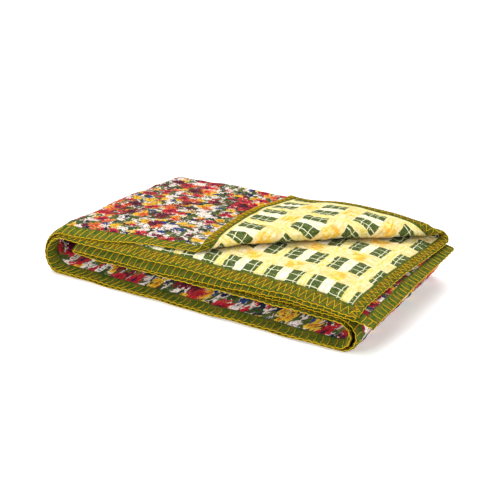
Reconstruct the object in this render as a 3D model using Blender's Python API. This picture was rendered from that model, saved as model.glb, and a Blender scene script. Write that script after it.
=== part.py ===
"""Folded baby quilt, lying on a flat surface.

The quilt is one long sheet of two cloths, a floral face and a check back, edged with a green
binding. It is folded in half along its length, with the check inside, and this double strip is
folded back and forth in four passes. The front right corner of the top layer is turned back, so
the check shows there.

A point of the sheet has two parameters. Along the strip, u runs from 0 to 7: pass 1 on top, the
outer left fold, pass 2 on the surface, the right fold, pass 3, the inner left fold and pass 4.
Across the strip, v runs from 0 to 3: the outer layer from front to back, the half-fold at the
back and the inner layer from back to front.

Metres, +Z up, +X to the right and +Y to the back. The origin is the bottom centre of the whole.
"""
import math
from collections import namedtuple

import bmesh
import bpy
import numpy as np

# Driving dimensions
STACK_LENGTH = 0.500
LAYER_DEPTH = 0.283
CLOTH_THICKNESS = 0.00115
CLOTH_GAP = 0.0003
QUILT_THICKNESS = 2 * CLOTH_THICKNESS + CLOTH_GAP
BINDING_WIDTH = 0.015
PIECE_GAP = 0.0006
END_GAP = 0.0014

# Shape of the edges: how far in from an edge the cloth sinks, and the sink towards the back
EDGE_REACH = 0.036
BOTTOM_EDGE_REACH = 0.052
MID_RISE_FROM = 0.02
MID_RISE_TO = 0.15
BACK_SINK = 0.11
BACK_SINK_START = 0.12
HALF_FOLD_BULGE = 0.011
FLOOR_LEVEL = QUILT_THICKNESS / 2
TOP_LEVEL = 0.085

# Levels of one layer in one pass, as heights of the middle of its thickness. The mid levels hold
# away from the edges and the front levels along the front edge. Each goes from its left value to
# its right one between two places along X. Set is how far the front edge lies behind Y = 0.
Level = namedtuple("Level", "mid_left mid_right front_left front_right front_from front_to "
                            "set_left set_right")
OUTER = "outer"
INNER = "inner"
LEVELS = {
    (OUTER, 1): Level(0.0770, 0.0830, 0.0660, 0.0785, 0.03, 0.21, 0.001, 0.020),
    (INNER, 1): Level(0.0715, 0.0770, 0.0590, 0.0610, 0.04, 0.23, 0.000, 0.000),
    (INNER, 4): Level(0.0635, 0.0690, 0.0450, 0.0550, 0.18, 0.42, 0.001, 0.000),
    (OUTER, 4): Level(0.0570, 0.0620, 0.0512, 0.0568, 0.18, 0.42, 0.012, 0.012),
    (OUTER, 3): Level(0.0505, 0.0545, 0.0470, 0.0485, 0.18, 0.42, 0.012, 0.003),
    (INNER, 3): Level(0.0435, 0.0470, 0.0380, 0.0430, 0.10, 0.35, 0.005, 0.000),
    (INNER, 2): Level(0.0340, 0.0340, 0.0056, 0.0056, 0.10, 0.35, 0.001, 0.000),
    (OUTER, 2): Level(FLOOR_LEVEL, FLOOR_LEVEL, FLOOR_LEVEL, FLOOR_LEVEL, 0.10, 0.35, 0.003, 0.003),
}

# Folds: where each layer turns, the shift of that tip from front to back, the lengths of the
# round stretches before and after the tip, and the tip's share of the way down or up.
Fold = namedtuple("Fold", "tip_front tip_mid skew before_front before_mid after_front after_mid share")
FOLDS = {
    (OUTER, 1): Fold(-0.0120, -0.0100, 0.004, 0.036, 0.045, 0.018, 0.024, 0.62),
    (INNER, 1): Fold(-0.0070, 0.0040, 0.004, 0.032, 0.038, 0.016, 0.024, 0.60),
    (OUTER, 3): Fold(0.5000, 0.5030, -0.022, 0.024, 0.028, 0.028, 0.030, 0.50),
    (INNER, 3): Fold(0.4935, 0.4850, -0.022, 0.020, 0.016, 0.020, 0.018, 0.50),
    (OUTER, 5): Fold(0.0500, 0.0520, 0.002, 0.0032, 0.0040, 0.0032, 0.0040, 0.50),
    (INNER, 5): Fold(0.0400, 0.0410, 0.002, 0.006, 0.012, 0.006, 0.012, 0.50),
}

# Free short ends, at the start of pass 1 and at the end of pass 4: X at the front and at the back,
# how much lower the cloth lies there in the middle and at the front edge, the share of that at
# the back, and how far in from the end it begins
End = namedtuple("End", "front back drop_mid drop_front drop_back reach")
ENDS = {
    (OUTER, 1): End(0.5175, 0.4825, 0.0, 0.0, 1.0, 0.08),
    (INNER, 1): End(0.5030, 0.4940, 0.0150, 0.0065, 0.70, 0.08),
    (OUTER, 4): End(0.5130, 0.4960, 0.0160, 0.0102, 0.60, 0.05),
    (INNER, 4): End(0.5250, 0.5040, 0.0236, 0.0108, 0.55, 0.08),
}

# Turned corner of the top layer. Its fold line runs from the front edge to the back right corner,
# and the cloth goes round a loose roll there, an ellipse that is flat at both ends of the line.
TURN_START = (0.231, 0.020)
ROLL_REACH = 0.018
ROLL_REACH_ENDS = 0.009
ROLL_HEIGHT = 0.0225
ROLL_HEIGHT_ENDS = 0.0120
ROLL_LEAN = 1.5
CORNER_RETURN = 0.014
CORNER_REST = 0.35
CORNER_REST_FROM = 0.05
CORNER_REST_TO = 0.17

# Soft unevenness of the layers: height, wavelength along X and along Y, and phase
Wave = namedtuple("Wave", "height along across phase")
WAVES = (
    Wave(0.0010, 0.170, 0.230, 0.4),
    Wave(0.0007, 0.095, 0.120, 1.9),
    Wave(0.0004, 0.055, 0.070, 3.1),
)
EDGE_WAVES = (
    Wave(0.0012, 0.140, 1.0, 0.8),
    Wave(0.0006, 0.060, 1.0, 2.2),
)

# Stations of pass 1 to the right of a base line run beside the fold line of the turned corner, so
# that its roll is smooth: where the base line is at the front and at the back, its place along the
# pass, how wide the zone of such stations is, its share of the stations and the width that is left
# over to the free end where that share is reached
BASE_FRONT = 0.196
BASE_BACK = 0.452
BASE_PLACE = 0.60
ZONE_WIDTH = 0.090
ZONE_SHARE = 0.72
ZONE_FADE = 0.060

# Places along a pass where the binding of its free short end stops and where the panels begin
BINDING_PLACE = BINDING_WIDTH / STACK_LENGTH
PANEL_PLACE = (BINDING_WIDTH + END_GAP) / STACK_LENGTH

# Steps of the grids: those of pass 4 are closer together near its free end. The shares are places
# across a panel's two layers, from its front edge to the back.
PASS_STEPS = (5, 5, 6)
ZONE_STEPS = 11
REST_STEPS = 4
END_STEPS = 9
END_CLOSENESS = 1.7
FOLD_STEPS = (8, 8, 6)
OUTER_SHARES = (0.0, 0.04, 0.10, 0.18, 0.28, 0.39, 0.50, 0.61, 0.71, 0.79, 0.85, 0.90, 0.945, 0.975, 1.0)
INNER_SHARES = (0.0, 0.04, 0.11, 0.22, 0.36, 0.52, 0.68, 0.82, 0.93, 1.0)
HALF_FOLD_STEPS = 4
BINDING_STEPS = 2

# Step in u and v to the points that a normal is found from
NORMAL_STEP = 0.004

# Colours of the pieces
FLORAL_RED = (0.55, 0.10, 0.09)
CHECK_CREAM = (0.84, 0.80, 0.48)
BINDING_GREEN = (0.13, 0.15, 0.03)


def ease(value):
    """Smooth step from 0 to 1: 3t^2 - 2t^3."""
    t = np.clip(value, 0.0, 1.0)
    return t * t * (3.0 - 2.0 * t)


def mix(first, second, share):
    """Straight blend between two values."""
    return first + (second - first) * share


def sink(distance, reach):
    """Share of an edge's sink at a distance from it: (1 - d/reach)^2, and 0 past the reach."""
    return (1.0 - np.clip(distance / reach, 0.0, 1.0)) ** 2


def between(left, right, start, stop, x):
    """Value that goes smoothly from left to right between two places along X."""
    return mix(left, right, ease((x - start) / (stop - start)))


def setback(layer, number, x):
    """Distance of a layer's front edge behind Y = 0, slightly wavy."""
    row = LEVELS[layer, number]
    base = between(row.set_left, row.set_right, row.front_from, row.front_to, x)
    phase = number + (0.5 if layer == OUTER else 0.0)
    if (layer, number) == (OUTER, 1):
        base = base - between(0.0, CORNER_RETURN, TURN_START[0], STACK_LENGTH, x)
    for wave in EDGE_WAVES:
        base = base + wave.height * np.sin(2 * math.pi * x / wave.along + wave.phase + 2.1 * phase)
    return base


def unevenness(x, y):
    """Sum of sine waves that lifts and lowers all layers together."""
    total = np.zeros_like(x)
    for wave in WAVES:
        total = total + wave.height * (np.sin(2 * math.pi * x / wave.along + wave.phase)
                                       * np.cos(2 * math.pi * y / wave.across + wave.phase))
    return total


def free_end(layer, number, y):
    """X of a layer's free short end."""
    row = ENDS[layer, number]
    return mix(row.front, row.back, np.clip(y / LAYER_DEPTH, 0.0, 1.0))


def end_drop(layer, number, x, y, near_front):
    """How much lower a layer lies near its free short end."""
    row = ENDS[layer, number]
    drop = mix(row.drop_mid, row.drop_front, near_front)
    drop = drop * mix(1.0, row.drop_back, np.clip(y / LAYER_DEPTH, 0.0, 1.0))
    return drop * sink(free_end(layer, number, y) - x, row.reach)


def level(layer, number, x, y, edge):
    """Height of a layer in one pass. Edge is the Y of its front edge there.

    Near the front edge the layers of the other passes sink more and more, while the lowest pass
    flattens out again, with the smooth step.
    """
    row = LEVELS[layer, number]
    mid = between(row.mid_left, row.mid_right, MID_RISE_FROM, MID_RISE_TO, x)
    front = between(row.front_left, row.front_right, row.front_from, row.front_to, x)
    if number == 2:
        near_front = 1.0 - ease((y - edge) / BOTTOM_EDGE_REACH)
    else:
        near_front = sink(y - edge, EDGE_REACH)
    height = mix(mid, front, near_front)
    if (layer, number) in ENDS:
        height = height - end_drop(layer, number, x, y, near_front)
    towards_back = ease((y - BACK_SINK_START) / (LAYER_DEPTH - BACK_SINK_START))
    raised = height - FLOOR_LEVEL
    lift = unevenness(x, y) * np.clip(raised / TOP_LEVEL, 0.0, 1.0)
    return FLOOR_LEVEL + raised * (1.0 - BACK_SINK * towards_back) + lift


def fold_shape(layer, part, y):
    """X of a fold's tip, and X where its round stretch begins and ends."""
    row = FOLDS[layer, part]
    near_front = sink(y, EDGE_REACH)
    tip = mix(row.tip_mid, row.tip_front, near_front) + row.skew * y / LAYER_DEPTH
    before = mix(row.before_mid, row.before_front, near_front)
    after = mix(row.after_mid, row.after_front, near_front)
    side = 1.0 if part == 3 else -1.0
    return tip, tip - side * before, tip - side * after


def fold_edge(layer, part, share):
    """Y of a layer's front edge in a fold, between those of the passes that it joins."""
    number = (part + 1) // 2
    begin, end = fold_shape(layer, part, 0.0)[1:]
    return mix(setback(layer, number, begin), setback(layer, number + 1, end), ease(share))


def turn_corner(x, y):
    """Turn the front right corner of the top layer back over itself.

    With d the distance of a point past the fold line, and a and b the reach and half the height
    of the roll, the point goes round half an ellipse while d is less than the half's length
    h = pi sqrt((a^2 + b^2) / 2): to a sin(pi d/h) past the line and b (1 - cos(pi d/h)) up. From
    there it lies back over the layer, at -(d - h), and settles from 2 b to a share of it.
    """
    start = np.array(TURN_START)
    stop = np.array((ENDS[OUTER, 1].back, LAYER_DEPTH))
    length = np.linalg.norm(stop - start)
    along = (stop - start) / length
    past = np.array((along[1], -along[0]))
    a = (x - start[0]) * along[0] + (y - start[1]) * along[1]
    d = (x - start[0]) * past[0] + (y - start[1]) * past[1]
    swell = np.sin(math.pi * np.clip(a / length, 0.0, 1.0) ** ROLL_LEAN)
    reach = mix(ROLL_REACH_ENDS, ROLL_REACH, swell)
    height = mix(ROLL_HEIGHT_ENDS, ROLL_HEIGHT, swell) / 2
    half = math.pi * np.sqrt((reach ** 2 + height ** 2) / 2)
    angle = math.pi * np.clip(d / half, 0.0, 1.0)
    over = np.maximum(d - half, 0.0)
    offset = np.where(d > 0.0, reach * np.sin(angle) - over, d)
    rest = between(1.0, CORNER_REST, CORNER_REST_FROM, CORNER_REST_TO, over)
    lift = np.where(d > 0.0, height * (1.0 - np.cos(angle)) * rest, 0.0)
    return start[0] + a * along[0] + offset * past[0], start[1] + a * along[1] + offset * past[1], lift


def layer_point(layer, u, share):
    """Point of one layer: u along the strip, share from 0 at the front to 1 at the back."""
    part = np.minimum(np.floor(u).astype(int), 6)
    along = u - part
    x = np.zeros_like(u)
    y = np.zeros_like(u)
    z = np.zeros_like(u)
    for index in range(7):
        here = part == index
        if not here.any():
            continue
        f = along[here]
        if index % 2 == 1:
            x[here], y[here], z[here] = fold_point(layer, index, f, share[here])
        else:
            x[here], y[here], z[here] = pass_point(layer, index, f, share[here])
    return x, y, z


def beside_turn(base, end, f):
    """X of the stations between the base line and a free end, most of them in the turn's zone."""
    t = (BASE_PLACE - f) / (BASE_PLACE - PANEL_PLACE)
    width = end - base
    zone = np.minimum(ZONE_WIDTH, width)
    split = 1.0 - (1.0 - ZONE_SHARE) * np.clip((width - ZONE_WIDTH) / ZONE_FADE, 0.0, 1.0)
    rest = np.maximum(1.0 - split, 1e-6)
    return base + np.where(t < split, zone * t / split, zone + (width - zone) * (t - split) / rest)


def pass_x(layer, part, f, y):
    """X of a station in a pass. Near a free short end the stations are parallel to it."""
    if part == 0:
        strip = free_end(layer, 1, y) - STACK_LENGTH * f
        panel_end = free_end(layer, 1, y) - STACK_LENGTH * PANEL_PLACE
        base = mix(BASE_FRONT, BASE_BACK, y / LAYER_DEPTH)
        plain = mix(base, fold_shape(layer, 1, y)[1], (f - BASE_PLACE) / (1.0 - BASE_PLACE))
        beside = beside_turn(base, panel_end, f)
        return np.where(f < PANEL_PLACE, strip, np.where(f < BASE_PLACE, beside, plain))
    start = fold_shape(layer, part - 1, y)[2]
    if part == 6:
        strip = free_end(layer, 4, y) - STACK_LENGTH * (1.0 - f)
        panel_end = free_end(layer, 4, y) - STACK_LENGTH * PANEL_PLACE
        return np.where(f > 1.0 - PANEL_PLACE, strip, mix(start, panel_end, f / (1.0 - PANEL_PLACE)))
    return mix(start, fold_shape(layer, part + 1, y)[1], f)


def pass_point(layer, part, f, share):
    """Point of one layer in a pass."""
    number = part // 2 + 1
    x = pass_x(layer, part, f, share * LAYER_DEPTH)
    edge = setback(layer, number, x)
    y = mix(edge, LAYER_DEPTH, share)
    x = pass_x(layer, part, f, y)
    if (layer, number) == (OUTER, 1):
        x, y, lift = turn_corner(x, y)
        return x, y, level(layer, number, x, y, setback(layer, number, x)) + lift
    return x, y, level(layer, number, x, y, edge)


def fold_point(layer, part, f, share):
    """Point of one layer in a fold: two quarters of an ellipse that meet at its tip."""
    number = (part + 1) // 2
    edge = fold_edge(layer, part, f)
    y = mix(edge, LAYER_DEPTH, share)
    tip, begin, end = fold_shape(layer, part, y)
    first = level(layer, number, begin, y, edge)
    second = level(layer, number + 1, end, y, edge)
    middle = mix(first, second, FOLDS[layer, part].share)
    angle = math.pi * f
    before = f <= 0.5
    side = np.where(before, begin, end)
    height = np.where(before, first, second)
    x = side + (tip - side) * np.sin(angle)
    z = middle + (height - middle) * np.abs(np.cos(angle))
    return x, y, z


def quilt_point(u, v):
    """Point of the quilt's middle surface at the parameters u and v."""
    u = np.asarray(u, dtype=float)
    v = np.asarray(v, dtype=float)
    outer = np.stack(layer_point(OUTER, u, np.clip(v, 0.0, 1.0)), axis=-1)
    inner = np.stack(layer_point(INNER, u, np.clip(3.0 - v, 0.0, 1.0)), axis=-1)
    angle = math.pi * np.clip(v - 1.0, 0.0, 1.0)[..., None]
    half_fold = (outer + inner) / 2 + (outer - inner) / 2 * np.cos(angle)
    spread = np.linalg.norm(outer - inner, axis=-1, keepdims=True) / 2
    half_fold[..., 1:2] += np.minimum(spread, HALF_FOLD_BULGE) * np.sin(angle)
    turned = (v > 1.0) & (v < 2.0)
    points = np.where((v <= 1.0)[..., None], outer, inner)
    points[turned] = half_fold[turned]
    return points


def along_panel():
    """Values of u along the panels, with each pass and fold in its own steps."""
    rest = np.linspace(1.0, ZONE_SHARE, REST_STEPS + 1)[:-1]
    zone = np.linspace(ZONE_SHARE, 0.0, ZONE_STEPS + 1)
    values = list(BASE_PLACE - (BASE_PLACE - PANEL_PLACE) * np.concatenate([rest, zone]))
    values.extend(np.linspace(BASE_PLACE, 1.0, PASS_STEPS[0] + 1)[1:])
    steps = (FOLD_STEPS[0], PASS_STEPS[1], FOLD_STEPS[1], PASS_STEPS[2], FOLD_STEPS[2])
    for part, count in enumerate(steps, start=1):
        values.extend(part + np.linspace(0.0, 1.0, count + 1)[1:])
    end = 1.0 - np.linspace(1.0, 0.0, END_STEPS + 1)[1:] ** END_CLOSENESS
    values.extend(6.0 + (1.0 - PANEL_PLACE) * end)
    return np.array(values)


def across_panel():
    """Values of v across the panels, closer together near the front edges and the half-fold."""
    edge = (BINDING_WIDTH + PIECE_GAP) / LAYER_DEPTH
    outer = edge + (1.0 - edge) * np.array(OUTER_SHARES)
    inner = edge + (1.0 - edge) * np.array(INNER_SHARES)
    half_fold = 1.0 + np.linspace(0.0, 1.0, HALF_FOLD_STEPS + 1)[1:]
    return np.concatenate([outer, half_fold, 3.0 - inner[::-1][1:]])


def new_material(name, colour, roughness):
    """Plain cloth material."""
    material = bpy.data.materials.new(name)
    material.use_nodes = True
    shader = material.node_tree.nodes["Principled BSDF"]
    shader.inputs["Base Color"].default_value = (*colour, 1.0)
    shader.inputs["Roughness"].default_value = roughness
    shader.inputs["Metallic"].default_value = 0.0
    return material


def step_along(u, v, step_u, step_v):
    """Direction of one side's step from a point, with length 1, or 0 where there is no cloth."""
    there = quilt_point(np.clip(u + step_u, 0.0, 7.0), np.clip(v + step_v, 0.0, 3.0))
    step = there - quilt_point(u, v)
    return step / np.maximum(np.linalg.norm(step, axis=-1, keepdims=True), 1e-9)


def floral_side(u, v):
    """Normal of the middle surface on its floral side, from short steps to all four sides."""
    along = step_along(u, v, NORMAL_STEP, 0.0) - step_along(u, v, -NORMAL_STEP, 0.0)
    across = step_along(u, v, 0.0, NORMAL_STEP) - step_along(u, v, 0.0, -NORMAL_STEP)
    normal = np.cross(across, along)
    return normal / np.linalg.norm(normal, axis=-1, keepdims=True)


def cloth_sheet(name, us, vs, low, high, material, collection):
    """Flat slab with a grid on both faces, bent to the quilt's middle surface.

    Every square is halved along the same diagonal, so that neighbouring cloths bend alike.
    Low and high are the distances of its faces from the middle surface, towards the floral side.
    """
    slab = bmesh.new()
    bmesh.ops.create_grid(slab, x_segments=len(us) - 1, y_segments=len(vs) - 1, size=1.0)
    bmesh.ops.solidify(slab, geom=list(slab.faces), thickness=1.0)
    bmesh.ops.recalc_face_normals(slab, faces=list(slab.faces))
    for face in list(slab.faces):
        ends = sorted(face.verts, key=lambda vert: tuple(vert.co))
        bmesh.utils.face_split(face, ends[0], ends[-1])
    corners = np.array([vert.co for vert in slab.verts])
    row = np.rint((corners[:, 0] + 1.0) / 2.0 * (len(us) - 1)).astype(int)
    column = np.rint((corners[:, 1] + 1.0) / 2.0 * (len(vs) - 1)).astype(int)
    upper = corners[:, 2] > corners[:, 2].mean()
    u = us[row]
    v = vs[column]
    distance = np.where(upper, high, low)[:, None]
    points = quilt_point(u, v) + distance * floral_side(u, v)
    for vert, point in zip(slab.verts, points):
        vert.co = point
    bmesh.ops.reverse_faces(slab, faces=list(slab.faces))
    mesh = bpy.data.meshes.new(name)
    slab.to_mesh(mesh)
    slab.free()
    mesh.shade_smooth()
    mesh.materials.append(material)
    piece = bpy.data.objects.new(name, mesh)
    collection.objects.link(piece)
    return piece


def centre_on_origin(pieces):
    """Move the pieces so that the bottom centre of their box is the origin."""
    bpy.context.view_layer.update()
    graph = bpy.context.evaluated_depsgraph_get()
    corners = []
    for piece in pieces:
        mesh = piece.evaluated_get(graph).to_mesh()
        points = np.zeros(len(mesh.vertices) * 3)
        mesh.vertices.foreach_get("co", points)
        points = points.reshape(-1, 3)
        corners.append(points.min(axis=0))
        corners.append(points.max(axis=0))
    low = np.min(corners, axis=0)
    high = np.max(corners, axis=0)
    shift = (-(low[0] + high[0]) / 2, -(low[1] + high[1]) / 2, -low[2])
    for piece in pieces:
        piece.location = shift


def build():
    """Make the quilt's panels and bindings."""
    for old in list(bpy.data.objects):
        bpy.data.objects.remove(old)
    collection = bpy.data.collections.new("folded_baby_quilt")
    bpy.context.scene.collection.children.link(collection)

    floral = new_material("floral cotton", FLORAL_RED, 0.9)
    check = new_material("check cotton", CHECK_CREAM, 0.9)
    green = new_material("green binding", BINDING_GREEN, 0.85)

    panel_u = along_panel()
    panel_v = across_panel()
    top_u = np.linspace(0.0, BINDING_PLACE, BINDING_STEPS + 1)
    end_u = 7.0 - top_u[::-1]
    whole_u = np.concatenate([top_u, panel_u, end_u])
    outer_v = np.linspace(0.0, BINDING_WIDTH / LAYER_DEPTH, BINDING_STEPS + 1)
    inner_v = 3.0 - outer_v[::-1]
    half = QUILT_THICKNESS / 2
    lining = CLOTH_GAP / 2

    pieces = [
        cloth_sheet("floral_panel", panel_u, panel_v, lining, half, floral, collection),
        cloth_sheet("check_panel", panel_u, panel_v, -half, -lining, check, collection),
        cloth_sheet("binding_long_outer", whole_u, outer_v, -half, half, green, collection),
        cloth_sheet("binding_long_inner", whole_u, inner_v, -half, half, green, collection),
        cloth_sheet("binding_end_top", top_u, panel_v, -half, half, green, collection),
        cloth_sheet("binding_end_inner", end_u, panel_v, -half, half, green, collection),
    ]
    centre_on_origin(pieces)


build()
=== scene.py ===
# %% [markdown]
# # A folded baby quilt
# The quilt is one long sheet with a floral face, a check back and a green edging sewn on with
# golden thread. It is folded in half along its length and then back and forth, and the front
# right corner of its top layer is turned back. The solids have that shape already, so this
# lesson gives the same folds a finer surface: crinkled cloth, a puffed edging, real stitches
# and printed colours made of shader nodes.

# %% Load the frame
import math
from collections import namedtuple

import bpy
import numpy as np
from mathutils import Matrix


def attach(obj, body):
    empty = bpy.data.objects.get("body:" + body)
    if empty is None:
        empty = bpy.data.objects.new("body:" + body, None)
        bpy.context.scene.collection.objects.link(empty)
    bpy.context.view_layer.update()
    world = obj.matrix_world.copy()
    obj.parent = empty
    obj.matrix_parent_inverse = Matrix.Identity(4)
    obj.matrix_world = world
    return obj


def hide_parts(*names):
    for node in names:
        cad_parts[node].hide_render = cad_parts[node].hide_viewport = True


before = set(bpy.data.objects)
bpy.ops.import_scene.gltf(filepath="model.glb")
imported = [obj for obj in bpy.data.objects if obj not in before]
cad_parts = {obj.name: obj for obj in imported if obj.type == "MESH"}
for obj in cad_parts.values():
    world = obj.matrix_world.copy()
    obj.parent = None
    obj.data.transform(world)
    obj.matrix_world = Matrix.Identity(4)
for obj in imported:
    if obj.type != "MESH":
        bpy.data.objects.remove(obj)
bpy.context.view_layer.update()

print("nodes:", sorted(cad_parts))

# %% [markdown]
# ## The camera
# The picture looks down on the stack from its front right, about 22 degrees below the horizon,
# with a long lens. The camera's place was worked out from the stack's corners. It comes first,
# because every later choice of detail depends on how close the cloth is seen.

# %% Camera
CAMERA_PLACE = (0.984, -1.5464, 0.7978)
CAMERA_WAY = (-0.540, 0.842)
CAMERA_PITCH = math.radians(22.4)
UPRIGHT = math.radians(90.0)
LENS = 99.6
SENSOR = 36.0

camera_data = bpy.data.cameras.new("camera")
camera_data.lens = LENS
camera_data.sensor_width = SENSOR
camera = bpy.data.objects.new("camera", camera_data)
camera.location = CAMERA_PLACE
heading = math.atan2(CAMERA_WAY[1], CAMERA_WAY[0])
camera.rotation_euler = (UPRIGHT - CAMERA_PITCH, 0.0, heading - UPRIGHT)
bpy.context.scene.collection.objects.link(camera)
bpy.context.scene.camera = camera
print("camera at", CAMERA_PLACE)

# %% [markdown]
# ## The shape of the folds
# A sheet that is only bent, never stretched, can be described by two numbers: how far along the
# strip a point is, and how far across. Here u runs from 0 to 7 along the strip: pass 1 on top,
# the outer left fold, pass 2 on the surface, the right fold, pass 3, the inner left fold and
# pass 4. And v runs from 0 to 3 across it: the outer layer, the half-fold at the back and the
# inner layer. Simulated cloth would never lie exactly in the solids, so the folds are worked out
# from a few tables of heights and lengths instead, the same ones that the solids have.

# %% Sizes
# Driving dimensions
STACK_LENGTH = 0.500
LAYER_DEPTH = 0.283
CLOTH_THICKNESS = 0.00115
CLOTH_GAP = 0.0003
QUILT_THICKNESS = 2 * CLOTH_THICKNESS + CLOTH_GAP
BINDING_WIDTH = 0.015
END_GAP = 0.0014

# %% Heights, folds and free ends
# Shape of the edges: how far in from an edge the cloth sinks, and the sink towards the back
EDGE_REACH = 0.036
BOTTOM_EDGE_REACH = 0.052
MID_RISE_FROM = 0.02
MID_RISE_TO = 0.15
BACK_SINK = 0.11
BACK_SINK_START = 0.12
HALF_FOLD_BULGE = 0.011
FLOOR_LEVEL = QUILT_THICKNESS / 2
TOP_LEVEL = 0.085

# Levels of one layer in one pass, as heights of the middle of its thickness. The mid levels hold
# away from the edges and the front levels along the front edge. Each goes from its left value to
# its right one between two places along X. Set is how far the front edge lies behind Y = 0.
Level = namedtuple("Level", "mid_left mid_right front_left front_right front_from front_to "
                            "set_left set_right")
OUTER = "outer"
INNER = "inner"
LEVELS = {
    (OUTER, 1): Level(0.0770, 0.0830, 0.0660, 0.0785, 0.03, 0.21, 0.001, 0.020),
    (INNER, 1): Level(0.0715, 0.0770, 0.0590, 0.0610, 0.04, 0.23, 0.000, 0.000),
    (INNER, 4): Level(0.0635, 0.0690, 0.0450, 0.0550, 0.18, 0.42, 0.001, 0.000),
    (OUTER, 4): Level(0.0570, 0.0620, 0.0512, 0.0568, 0.18, 0.42, 0.012, 0.012),
    (OUTER, 3): Level(0.0505, 0.0545, 0.0470, 0.0485, 0.18, 0.42, 0.012, 0.003),
    (INNER, 3): Level(0.0435, 0.0470, 0.0380, 0.0430, 0.10, 0.35, 0.005, 0.000),
    (INNER, 2): Level(0.0340, 0.0340, 0.0056, 0.0056, 0.10, 0.35, 0.001, 0.000),
    (OUTER, 2): Level(FLOOR_LEVEL, FLOOR_LEVEL, FLOOR_LEVEL, FLOOR_LEVEL, 0.10, 0.35, 0.003, 0.003),
}

# Folds: where each layer turns, the shift of that tip from front to back, the lengths of the
# round stretches before and after the tip, and the tip's share of the way down or up.
Fold = namedtuple("Fold", "tip_front tip_mid skew before_front before_mid "
                          "after_front after_mid share")
FOLDS = {
    (OUTER, 1): Fold(-0.0120, -0.0100, 0.004, 0.036, 0.045, 0.018, 0.024, 0.62),
    (INNER, 1): Fold(-0.0070, 0.0040, 0.004, 0.032, 0.038, 0.016, 0.024, 0.60),
    (OUTER, 3): Fold(0.5000, 0.5030, -0.022, 0.024, 0.028, 0.028, 0.030, 0.50),
    (INNER, 3): Fold(0.4935, 0.4850, -0.022, 0.020, 0.016, 0.020, 0.018, 0.50),
    (OUTER, 5): Fold(0.0500, 0.0520, 0.002, 0.0032, 0.0040, 0.0032, 0.0040, 0.50),
    (INNER, 5): Fold(0.0400, 0.0410, 0.002, 0.006, 0.012, 0.006, 0.012, 0.50),
}

# Free short ends, at the start of pass 1 and at the end of pass 4: X at the front and at the back,
# how much lower the cloth lies there in the middle and at the front edge, the share of that at
# the back, and how far in from the end it begins
End = namedtuple("End", "front back drop_mid drop_front drop_back reach")
ENDS = {
    (OUTER, 1): End(0.5175, 0.4825, 0.0, 0.0, 1.0, 0.08),
    (INNER, 1): End(0.5030, 0.4940, 0.0150, 0.0065, 0.70, 0.08),
    (OUTER, 4): End(0.5130, 0.4960, 0.0160, 0.0102, 0.60, 0.05),
    (INNER, 4): End(0.5250, 0.5040, 0.0236, 0.0108, 0.55, 0.08),
}

# %% Turned corner and unevenness
# Turned corner of the top layer. Its fold line runs from the front edge to the back right corner,
# and the cloth goes round a loose roll there, an ellipse that is flat at both ends of the line.
TURN_START = (0.231, 0.020)
ROLL_REACH = 0.018
ROLL_REACH_ENDS = 0.009
ROLL_HEIGHT = 0.0225
ROLL_HEIGHT_ENDS = 0.0120
ROLL_LEAN = 1.5
CORNER_RETURN = 0.014
CORNER_REST = 0.35
CORNER_REST_FROM = 0.05
CORNER_REST_TO = 0.17

# Soft unevenness of the layers: height, wavelength along X and along Y, and phase
Wave = namedtuple("Wave", "height along across phase")
WAVES = (
    Wave(0.0010, 0.170, 0.230, 0.4),
    Wave(0.0007, 0.095, 0.120, 1.9),
    Wave(0.0004, 0.055, 0.070, 3.1),
)
EDGE_WAVES = (
    Wave(0.0012, 0.140, 1.0, 0.8),
    Wave(0.0006, 0.060, 1.0, 2.2),
)

# Stations of pass 1 to the right of a base line run beside the fold line of the turned corner, so
# that its roll is smooth: where the base line is at the front and at the back, its place along the
# pass, how wide the zone of such stations is, its share of the stations and the width that is left
# over to the free end where that share is reached
BASE_FRONT = 0.196
BASE_BACK = 0.452
BASE_PLACE = 0.60
ZONE_WIDTH = 0.090
ZONE_SHARE = 0.72
ZONE_FADE = 0.060

# Places along a pass where the binding of its free short end stops and where the panels begin
BINDING_PLACE = BINDING_WIDTH / STACK_LENGTH
PANEL_PLACE = (BINDING_WIDTH + END_GAP) / STACK_LENGTH

NORMAL_STEP = 0.004
print("layers", len(LEVELS), "folds", len(FOLDS), "thickness", QUILT_THICKNESS)


# %% Blends
def ease(value):
    """Smooth step from 0 to 1: 3t^2 - 2t^3."""
    t = np.clip(value, 0.0, 1.0)
    return t * t * (3.0 - 2.0 * t)


def mix(first, second, share):
    """Straight blend between two values."""
    return first + (second - first) * share


def sink(distance, reach):
    """Share of an edge's sink at a distance from it: (1 - d/reach)^2, and 0 past the reach."""
    return (1.0 - np.clip(distance / reach, 0.0, 1.0)) ** 2


def between(left, right, start, stop, x):
    """Value that goes smoothly from left to right between two places along X."""
    return mix(left, right, ease((x - start) / (stop - start)))


# %% Heights of the layers
def setback(layer, number, x):
    """Distance of a layer's front edge behind Y = 0, slightly wavy."""
    row = LEVELS[layer, number]
    base = between(row.set_left, row.set_right, row.front_from, row.front_to, x)
    phase = number + (0.5 if layer == OUTER else 0.0)
    if (layer, number) == (OUTER, 1):
        base = base - between(0.0, CORNER_RETURN, TURN_START[0], STACK_LENGTH, x)
    for wave in EDGE_WAVES:
        base = base + wave.height * np.sin(2 * math.pi * x / wave.along + wave.phase + 2.1 * phase)
    return base


def unevenness(x, y):
    """Sum of sine waves that lifts and lowers all layers together."""
    total = np.zeros_like(x)
    for wave in WAVES:
        total = total + wave.height * (np.sin(2 * math.pi * x / wave.along + wave.phase)
                                       * np.cos(2 * math.pi * y / wave.across + wave.phase))
    return total


def free_end(layer, number, y):
    """X of a layer's free short end."""
    row = ENDS[layer, number]
    return mix(row.front, row.back, np.clip(y / LAYER_DEPTH, 0.0, 1.0))


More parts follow.
